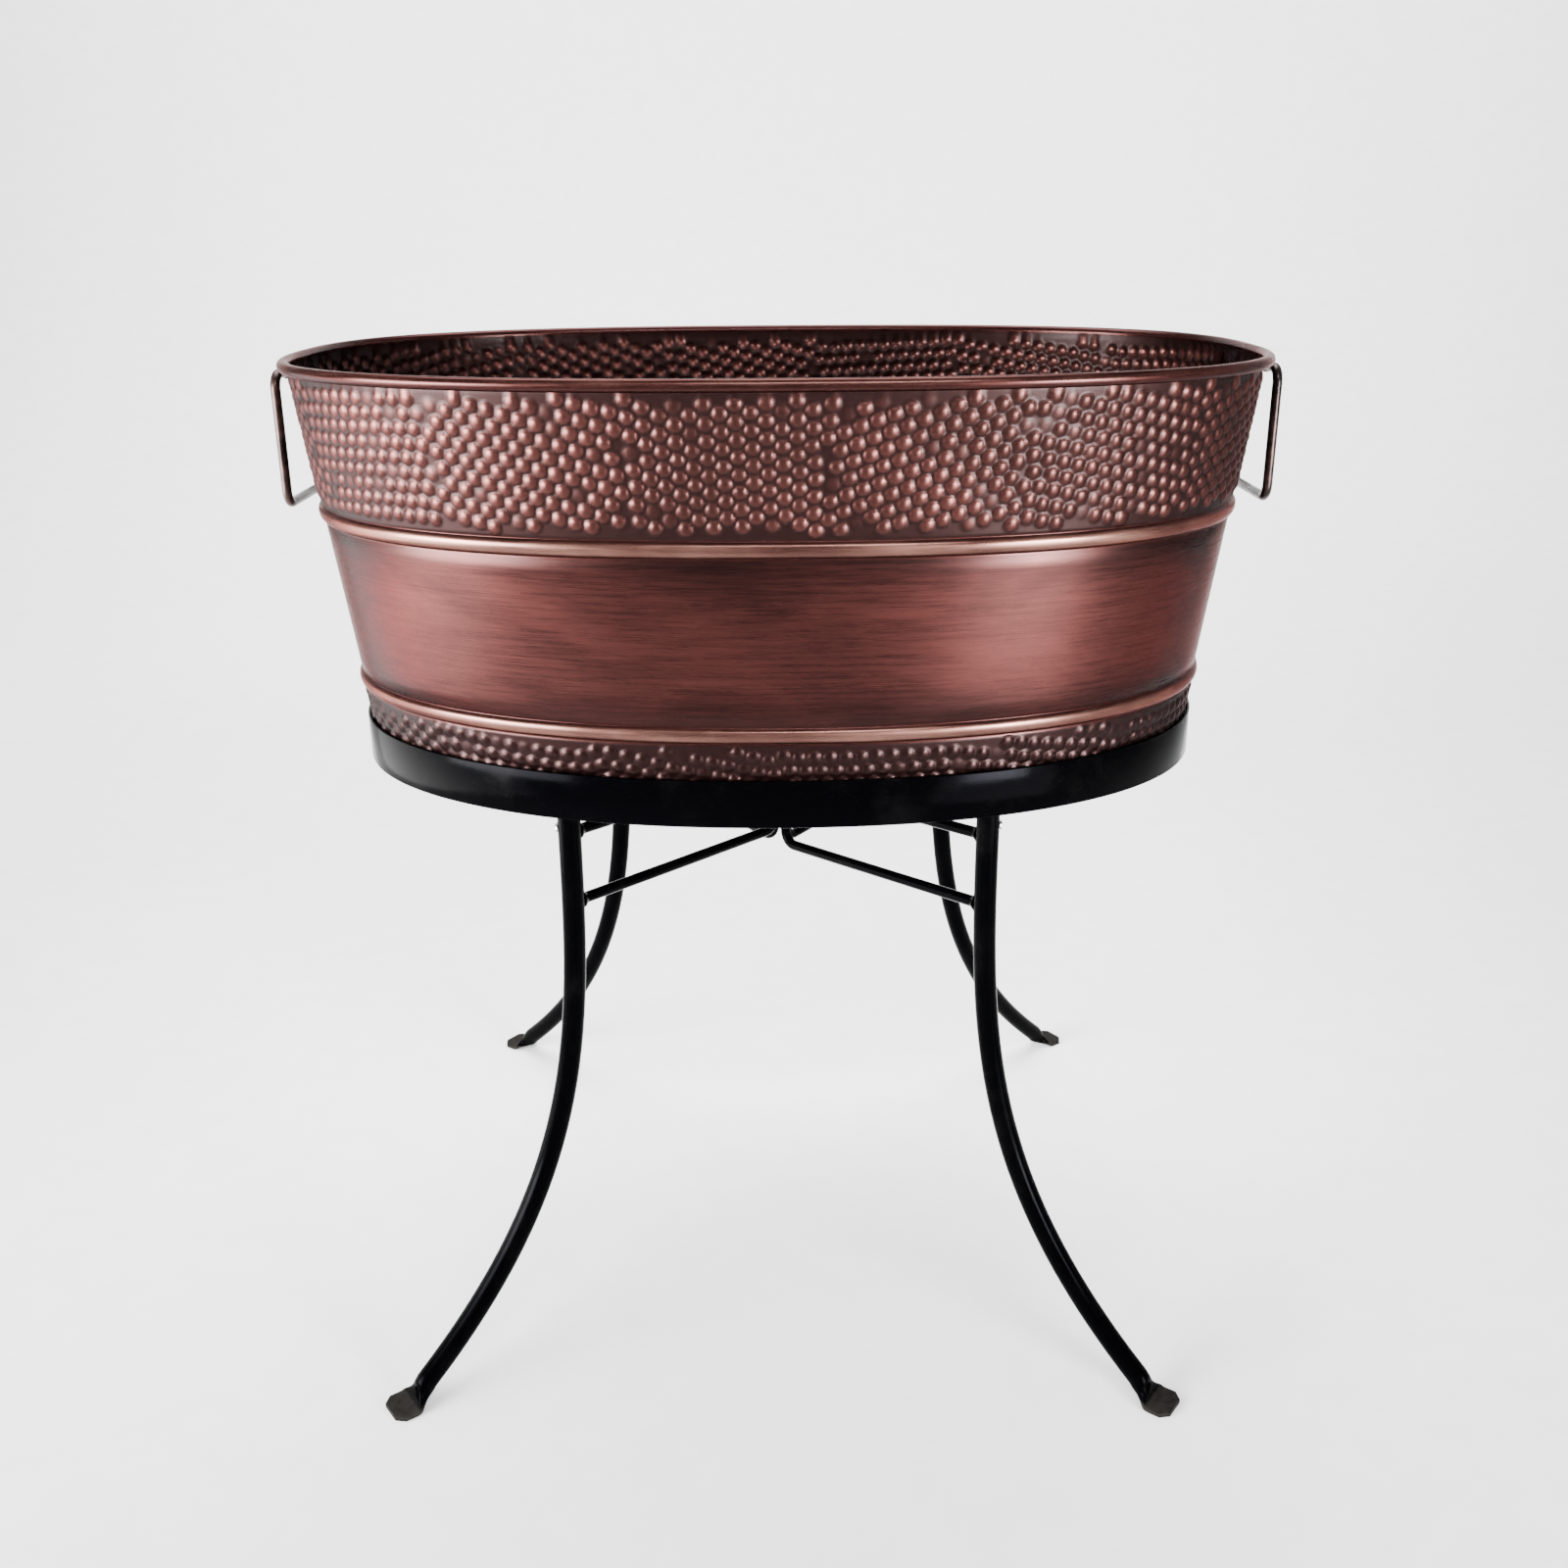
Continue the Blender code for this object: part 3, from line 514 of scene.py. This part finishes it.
def wall_rows():
    """Each row of the wall's mesh: inset, height, kind of surface and the crest of ribs and roll."""
    rows = []

    def plain(low, high, step, kind):
        count = max(2, round((high - low) / step))
        for index in range(count):
            height = low + (high - low) * index / count
            rows.append((wall_inset(height), height, kind, 0.0))

    groove = RIB_HALF_HEIGHT * GROOVE_REACH
    low_rib, high_rib = RIB_HEIGHTS
    plain(TUB_BASE, low_rib - groove, FINE_ROW, "hammered")
    rib_rows(rows, low_rib)
    plain(low_rib + groove, high_rib - groove, COARSE_ROW, "brushed")
    rib_rows(rows, high_rib)
    plain(high_rib + groove, HAMMERED_TOP, FINE_ROW, "hammered")
    centre = RIM_TOP - RIM_ROLL_RADIUS
    roll = RIM_ROLL_RADIUS - SHEET / 2
    for degrees in range(200, -121, -20):
        turn = math.radians(degrees)
        crest = ROLL_CREST * max(0.0, math.cos(turn - math.radians(50)))
        inset = RIM_ROLL_RADIUS - roll * math.cos(turn) - SHEET / 2
        rows.append((inset, centre + roll * math.sin(turn), "polished", crest))
    return rows


def rib_rows(rows, rib):
    for share in np.linspace(-GROOVE_REACH, GROOVE_REACH, 15)[:-1]:
        height = rib + share * RIB_HALF_HEIGHT
        if abs(share) <= 1:
            swell = math.sqrt(1 - share * share)
            rows.append((wall_inset(height) - RIB_DEPTH * swell, height, "polished", swell))
        else:
            dip = math.sin(math.pi * (abs(share) - 1) / (GROOVE_REACH - 1))
            rows.append((wall_inset(height) + GROOVE_DEPTH * dip, height, "polished", 0.0))


def band_rub(height):
    """How much the brushed band is rubbed bright: most in its middle, least beside the ribs."""
    low_rib, high_rib = RIB_HEIGHTS
    share = (height - low_rib) / (high_rib - low_rib)
    return float(smoothstep(share, -0.06, 0.34) * smoothstep(1 - share, -0.06, 0.34))


def perimeter(height):
    return tub_oval(wall_inset(height), height)[2]


def build_wall():
    rows = wall_rows()
    kinds = ("hammered", "brushed", "polished")
    along = np.arange(WALL_COLUMNS) / WALL_COLUMNS
    domes = [scatter_domes(perimeter(sum(limits) / 2), limits, seed)
             for seed, limits in enumerate(DOME_LIMITS)]
    points = []
    crests = []
    seams = []
    wraps = []
    for inset, height, kind, crest in rows:
        outline, normals, around = tub_oval(inset + SHEET / 2, height)
        relief = np.full(WALL_COLUMNS, crest)
        if kind == "hammered":
            relief = dome_relief(along, height, around, domes[0 if height < RIB_HEIGHTS[0] else 1])
            outline = outline + normals * (relief * DOME_HEIGHT)[:, None]
        if kind == "brushed":
            relief = np.full(WALL_COLUMNS, band_rub(height))
        points.append(np.column_stack((outline, np.full(WALL_COLUMNS, height))))
        crests.append(relief)
        seams.append(np.clip(1 - np.abs(along * around - SEAM_Y) / SEAM_LINE, 0, 1))
        level = np.full(WALL_COLUMNS, height)
        wraps.append(np.column_stack((along * around, level, np.zeros(WALL_COLUMNS))))
    faces, slots = grid_faces(rows, kinds)
    mesh = bpy.data.meshes.new("tub_wall_hammered")
    mesh.from_pydata(np.concatenate(points).tolist(), [], faces.tolist())
    mesh.polygons.foreach_set("material_index", slots)
    mesh.attributes.new("crest", "FLOAT", "POINT").data.foreach_set("value", np.concatenate(crests))
    mesh.attributes.new("seam", "FLOAT", "POINT").data.foreach_set("value", np.concatenate(seams))
    wrap = mesh.attributes.new("wrap", "FLOAT_VECTOR", "POINT")
    wrap.data.foreach_set("vector", np.concatenate(wraps).ravel())
    mesh.shade_smooth()
    wall = shown("tub_wall_hammered", mesh, hammered_copper(), brushed_copper(), polished_copper())
    sheet = wall.modifiers.new("sheet", "SOLIDIFY")
    sheet.thickness = SHEET
    sheet.offset = 0.0
    return wall


def grid_faces(rows, kinds):
    count = len(rows)
    row = np.arange(count - 1)[:, None] * WALL_COLUMNS
    column = np.arange(WALL_COLUMNS)[None, :]
    following = (column + 1) % WALL_COLUMNS
    corners = (row + column, row + following, row + WALL_COLUMNS + following, row + WALL_COLUMNS + column)
    faces = np.stack(corners, axis=2).reshape(-1, 4)
    slots = np.repeat([kinds.index(kind) for _, _, kind, _ in rows[:-1]], WALL_COLUMNS)
    return faces, slots.astype(np.int32)


def build_lap_seam():
    """The strip inside the tub where the wall's two ends overlap."""
    loops = []
    for height in np.linspace(TUB_BASE + SEAM_START, HAMMERED_TOP, 24):
        loop = []
        for depth, edges in ((SHEET + SEAM_STAND, (-0.5, 0.5)), (SHEET * 0.5, (0.5, -0.5))):
            outline, _, around = tub_oval(wall_inset(height) + depth, height)
            for edge in edges:
                place = (SEAM_Y + edge * SEAM_WIDTH) / around * WALL_COLUMNS
                share = place - int(place)
                point = outline[int(place)] * (1 - share) + outline[int(place) + 1] * share
                loop.append(Vector((*point, height)))
        loops.append(loop)
    bm = loft(loops, cap_first=True, cap_last=True)
    return shown("lap_seam", mesh_from_bmesh("lap_seam", bm), floor_copper())


def build_floor():
    """The floor sheet with its rounded edge and turned-down skirt, and a shallow pressed border."""
    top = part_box("tub_floor")[1][2]
    loops = []
    for inset, drop in FLOOR_EDGE:
        height = top + drop - SHEET / 2
        outline, _, _ = tub_oval(wall_inset(height) + SHEET + inset, height, 240)
        loops.append([Vector((x, y, height)) for x, y in outline])
    mesh = mesh_from_bmesh("tub_floor_sheet", loft(loops, cap_last=True), 60)
    floor = shown("tub_floor_sheet", mesh, floor_copper())
    sheet = floor.modifiers.new("sheet", "SOLIDIFY")
    sheet.thickness = SHEET
    sheet.offset = 0.0
    return floor


# ---------------------------------------------------------------- rods
def rounded_path(corners, radius, steps, closed=False):
    """Points along straight runs whose corners are replaced by arcs."""
    count = len(corners)
    points = []
    for index, corner in enumerate(corners):
        if not closed and index in (0, count - 1):
            points.append(corner.copy())
            continue
        before = (corners[index - 1] - corner).normalized()
        after = (corners[(index + 1) % count] - corner).normalized()
        half = before.angle(after) / 2
        reach = radius / math.tan(half)
        centre = corner + (before + after).normalized() * (radius / math.sin(half))
        start = corner + before * reach - centre
        finish = corner + after * reach - centre
        sweep = start.angle(finish)
        for step in range(steps + 1):
            share = step / steps
            weight = math.sin((1 - share) * sweep) / math.sin(sweep)
            points.append(centre + start * weight + finish * math.sin(share * sweep) / math.sin(sweep))
    return points


def rod(name, points, radius, material, closed=False):
    curve = bpy.data.curves.new(name, "CURVE")
    curve.dimensions = "3D"
    curve.bevel_depth = radius
    curve.bevel_resolution = 6
    curve.use_fill_caps = True
    spline = curve.splines.new("POLY")
    spline.points.add(len(points) - 1)
    spline.use_cyclic_u = closed
    spline.use_smooth = True
    for target, point in zip(spline.points, points):
        target.co = (*point, 1)
    return shown(name, curve, material)


def build_handle(hand, material):
    low, high = (Vector(corner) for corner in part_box(f"handle_{hand}"))
    x = (low.x + high.x) / 2
    half_width = high.y - HANDLE_ROD
    top = high.z - HANDLE_ROD
    bottom = low.z + HANDLE_ROD
    corners = [Vector((x, -half_width, top)), Vector((x, half_width, top)),
               Vector((x, half_width, bottom)), Vector((x, -half_width, bottom))]
    return rod(f"handle_rod_{hand}", rounded_path(corners, HANDLE_CORNER, 10, closed=True),
               HANDLE_ROD, material, closed=True)


# ---------------------------------------------------------------- stand
def build_ring(material):
    edge = STRAP_EDGE
    profile = ((edge, RING_BOTTOM), (0.0001, RING_BOTTOM + edge * 0.4), (0, RING_BOTTOM + edge),
               (0, RING_TOP - edge), (0.0001, RING_TOP - edge * 0.4), (edge, RING_TOP),
               (STRAP - edge, RING_TOP), (STRAP, RING_TOP - edge), (STRAP, RING_BOTTOM + edge),
               (STRAP - edge, RING_BOTTOM))
    loops = []
    for inset, height in profile:
        half_length = RING_HALF_LENGTH - inset
        half_width = RING_HALF_WIDTH - inset
        outline, _, _ = oval(half_length, half_width, BASE_ROUNDNESS, RING_COLUMNS)
        loops.append([Vector((x, y, height)) for x, y in outline])
    mesh = mesh_from_bmesh("ring_strap", loft(loops, closed_profile=True), 50)
    return shown("ring_strap", mesh, material)


def leg_reach(height):
    share = (LEG_BEND_TOP - height) / LEG_BEND_TOP
    share = min(max((share - SPLAY_START) / (1 - SPLAY_START), 0.0), 1.0)
    return SPLAY_REACH * share ** SPLAY_POWER


def leg_stations():
    """Reach, height, half width and half depth of a leg's section, from its top to the foot's tip."""
    stations = []
    steps = 40
    for step in range(steps + 1):
        height = LEG_TOP + (TUBE_BOTTOM - LEG_TOP) * (1 - (1 - step / steps) ** 1.5)
        stations.append((leg_reach(height), height, LEG_RADIUS, LEG_RADIUS))
    start = Vector((leg_reach(TUBE_BOTTOM), TUBE_BOTTOM))
    corner = Vector((FOOT_HEEL, FOOT_HALF_THICKNESS))
    finish = Vector((FOOT_HEEL + FOOT_BEND, FOOT_HALF_THICKNESS))
    steps = 14
    for step in range(1, steps + 1):
        share = step / steps
        bent = start * (1 - share) ** 2 + corner * 2 * share * (1 - share) + finish * share ** 2
        spread = float(smoothstep(share, 0.25, 0.75))
        press = float(smoothstep(share, 0.10, 0.65))
        width = LEG_RADIUS + (FOOT_HALF_WIDTH - LEG_RADIUS) * spread
        depth = LEG_RADIUS + (FOOT_HALF_THICKNESS - LEG_RADIUS) * press
        stations.append((bent.x, bent.y, width, depth))
    tip = ((FOOT_END - FOOT_CLIP, FOOT_HALF_WIDTH), (FOOT_END, FOOT_HALF_WIDTH - FOOT_CLIP))
    for reach, half_width in tip:
        stations.append((reach, FOOT_HALF_THICKNESS, half_width, FOOT_HALF_THICKNESS))
    return stations


def leg_loops(stations, sides):
    places = [Vector((reach, 0, height)) for reach, height, _, _ in stations]
    loops = []
    for index, (reach, height, half_width, half_depth) in enumerate(stations):
        tangent = (places[min(index + 1, len(places) - 1)] - places[max(index - 1, 0)]).normalized()
        if height == FOOT_HALF_THICKNESS:
            tangent = Vector((1, 0, 0))
        normal = Vector((tangent.z, 0, -tangent.x))
        pressed = (LEG_RADIUS - half_depth) / (LEG_RADIUS - FOOT_HALF_THICKNESS)
        power = 1 - 0.75 * pressed
        dent = 1.5 * pressed * (1 - pressed)
        loop = []
        for side in range(sides):
            angle = 2 * math.pi * (side + 0.5) / sides
            across = math.copysign(abs(math.cos(angle)) ** power, math.cos(angle)) * half_width
            deep = math.copysign(abs(math.sin(angle)) ** power, math.sin(angle)) * half_depth
            if deep < 0:
                deep *= 1 - dent * (1 - abs(across) / half_width)
            loop.append(Vector((reach, across, height)) + normal * deep)
        loops.append(loop)
    return loops


def build_leg(corner, side_x, side_y, material):
    direction = math.atan2(side_y * math.sin(SPLAY_ANGLE), side_x * math.cos(SPLAY_ANGLE))
    place = Matrix.Translation((side_x * LEG_X, side_y * LEG_Y, 0)) @ Matrix.Rotation(direction, 4, "Z")
    bm = loft(leg_loops(leg_stations(), LEG_SIDES), cap_first=True, cap_last=True)
    bmesh.ops.transform(bm, matrix=place, verts=bm.verts)
    return shown(f"leg_tube_{corner}", mesh_from_bmesh(f"leg_tube_{corner}", bm, 38), material)


def build_brace(corner, side_x, side_y, material):
    top = Vector((side_x * LEG_X, side_y * LEG_Y, 0))
    outward = top.normalized()
    at_leg = outward * (top.length - LEG_RADIUS + 0.001)
    at_hub = outward * HUB_RADIUS
    raised = corner == "front_left"
    low_leg = BRACE_LOW_AT_LEG + (RAISED_AT_LEG if raised else 0)
    low_hub = BRACE_LOW_AT_HUB + (RAISED_AT_HUB if raised else 0)
    high_leg = low_leg + BRACE_SPREAD
    high_hub = low_hub + BRACE_SPREAD
    corners = [at_leg + Vector((0, 0, low_leg)), at_hub + Vector((0, 0, low_hub)),
               at_hub + Vector((0, 0, high_hub)), at_leg + Vector((0, 0, high_leg))]
    brace = rod(f"brace_rod_{corner}", rounded_path(corners, BRACE_BEND, 10), ROD_RADIUS, material)
    for index, end in enumerate((corners[0], corners[-1])):
        inward = (corners[1] - corners[0]) if index == 0 else (corners[2] - corners[3])
        weld = weld_bead(f"weld_{corner}_{index}", end, inward.normalized(), material)
        weld.parent = brace
    return brace


def weld_bead(name, place, direction, material):
    """A lumpy fillet where a brace meets its leg."""
    loops = []
    for reach, radius in WELD_BEAD:
        loop = []
        for side in range(WELD_SIDES):
            angle = 2 * math.pi * side / WELD_SIDES
            lump = 1 + 0.06 * math.sin(5 * angle + reach * 900)
            loop.append((radius * lump * math.cos(angle), radius * lump * math.sin(angle), reach))
        loops.append(loop)
    bm = loft(loops, cap_first=True, cap_last=True)
    turn = direction.to_track_quat("Z", "Y").to_matrix().to_4x4()
    bmesh.ops.transform(bm, matrix=Matrix.Translation(place) @ turn, verts=bm.verts)
    return shown(name, mesh_from_bmesh(name, bm, 60), material)


# ---------------------------------------------------------------- CAD nodes that stay
def keep_node(node, material, bevel=0.0):
    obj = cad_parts[node]
    for slot in obj.material_slots:
        slot.material = material
    if bevel:
        edge = obj.modifiers.new("edge", "BEVEL")
        edge.width = bevel
        edge.segments = 2
        edge.limit_method = "ANGLE"
        edge.angle_limit = math.radians(50)


# ---------------------------------------------------------------- floor, light and camera
def build_stage():
    """A round studio floor whose edge curves up into a wall."""
    profile = [(0.0, 0.0), (FLOOR_REACH, 0.0)]
    for degrees in range(6, 91, 6):
        turn = math.radians(degrees)
        profile.append((FLOOR_REACH + COVE_RADIUS * math.sin(turn), COVE_RADIUS * (1 - math.cos(turn))))
    profile.append((FLOOR_REACH + COVE_RADIUS, STUDIO_HEIGHT))
    angles = [2 * math.pi * step / STUDIO_SIDES for step in range(STUDIO_SIDES)]
    bm = bmesh.new()
    centre = bm.verts.new((0, 0, 0))
    rings = []
    for reach, height in profile[1:]:
        places = [(reach * math.cos(angle), reach * math.sin(angle), height) for angle in angles]
        rings.append([bm.verts.new(place) for place in places])
    for step in range(STUDIO_SIDES):
        following = (step + 1) % STUDIO_SIDES
        bm.faces.new((centre, rings[0][step], rings[0][following]))
        for lower, upper in zip(rings, rings[1:]):
            bm.faces.new((lower[step], upper[step], upper[following], lower[following]))
    shown("studio_floor", mesh_from_bmesh("studio_floor", bm), pale_floor())


def area_light(name, place, size, power, spread, target):
    data = bpy.data.lights.new(name, "AREA")
    data.shape = "RECTANGLE"
    data.size, data.size_y = size
    data.energy = power
    data.spread = math.radians(spread)
    light = bpy.data.objects.new(name, data)
    light.location = place
    aim = Vector(target) - Vector(place)
    light.rotation_euler = aim.to_track_quat("-Z", "Y").to_euler()
    light.visible_camera = False
    collection.objects.link(light)


def build_light():
    world = bpy.data.worlds.new("studio")
    bpy.context.scene.world = world
    world.use_nodes = True
    background = world.node_tree.nodes["Background"]
    background.inputs["Color"].default_value = (1, 1, 1, 1)
    background.inputs["Strength"].default_value = WORLD_STRENGTH
    for light in LIGHTS:
        area_light(*light)


def build_camera():
    """In front of the stand and a little above the rim, looking down at it."""
    sine = math.sin(CAMERA_AZIMUTH)
    cosine = math.cos(CAMERA_AZIMUTH)
    level = math.cos(CAMERA_PITCH)
    back = Vector((sine * level, -cosine * level, math.sin(CAMERA_PITCH)))
    right = Vector((cosine, sine, 0))
    up = back.cross(right)
    rolled_right = right * math.cos(CAMERA_ROLL) + up * math.sin(CAMERA_ROLL)
    rolled_up = up * math.cos(CAMERA_ROLL) - right * math.sin(CAMERA_ROLL)
    data = bpy.data.cameras.new("camera")
    data.sensor_width = CAMERA_SENSOR
    data.lens = CAMERA_LENS
    camera = bpy.data.objects.new("camera", data)
    turn = Matrix((rolled_right, rolled_up, back)).transposed().to_4x4()
    camera.matrix_world = Matrix.Translation(CAMERA_PLACE) @ turn
    collection.objects.link(camera)
    bpy.context.scene.camera = camera


# ---------------------------------------------------------------- assembly
def build_tub():
    wall = build_wall()
    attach(wall, "tub")
    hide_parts("tub_wall")
    build_lap_seam().parent = wall
    floor = build_floor()
    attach(floor, "tub")
    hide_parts("tub_floor")


def build_handles():
    bronze = dark_bronze()
    for hand in ("left", "right"):
        handle = build_handle(hand, bronze)
        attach(handle, f"{hand}_handle")
        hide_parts(f"handle_{hand}")
        keep_node(f"handle_ear_{hand}", bronze, 0.0003)
        for place in ("front", "back"):
            keep_node(f"ear_rivet_{hand}_{place}", bronze)


def build_stand():
    black = black_coat()
    leg_black = black_coat("black_coat_legs", SCUFF_HEIGHT)
    zinc = zinc_steel()
    ring = build_ring(black)
    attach(ring, "stand")
    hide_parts("ring_band")
    for corner, side_x, side_y in QUADRANTS:
        leg = build_leg(corner, side_x, side_y, leg_black)
        brace = build_brace(corner, side_x, side_y, black)
        for piece, node in ((leg, f"leg_{corner}"), (brace, f"brace_{corner}")):
            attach(piece, "stand")
            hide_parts(node)
        keep_node(f"spigot_{corner}", black)
        keep_node(f"leg_screw_{corner}", zinc)
    for hand in ("left", "right"):
        keep_node(f"cross_bar_{hand}", black, 0.0004)
    keep_node("hub_collar", black, 0.0003)
    keep_node("rim_wire", zinc)


build_tub()
build_handles()
build_stand()
build_stage()
build_light()
build_camera()
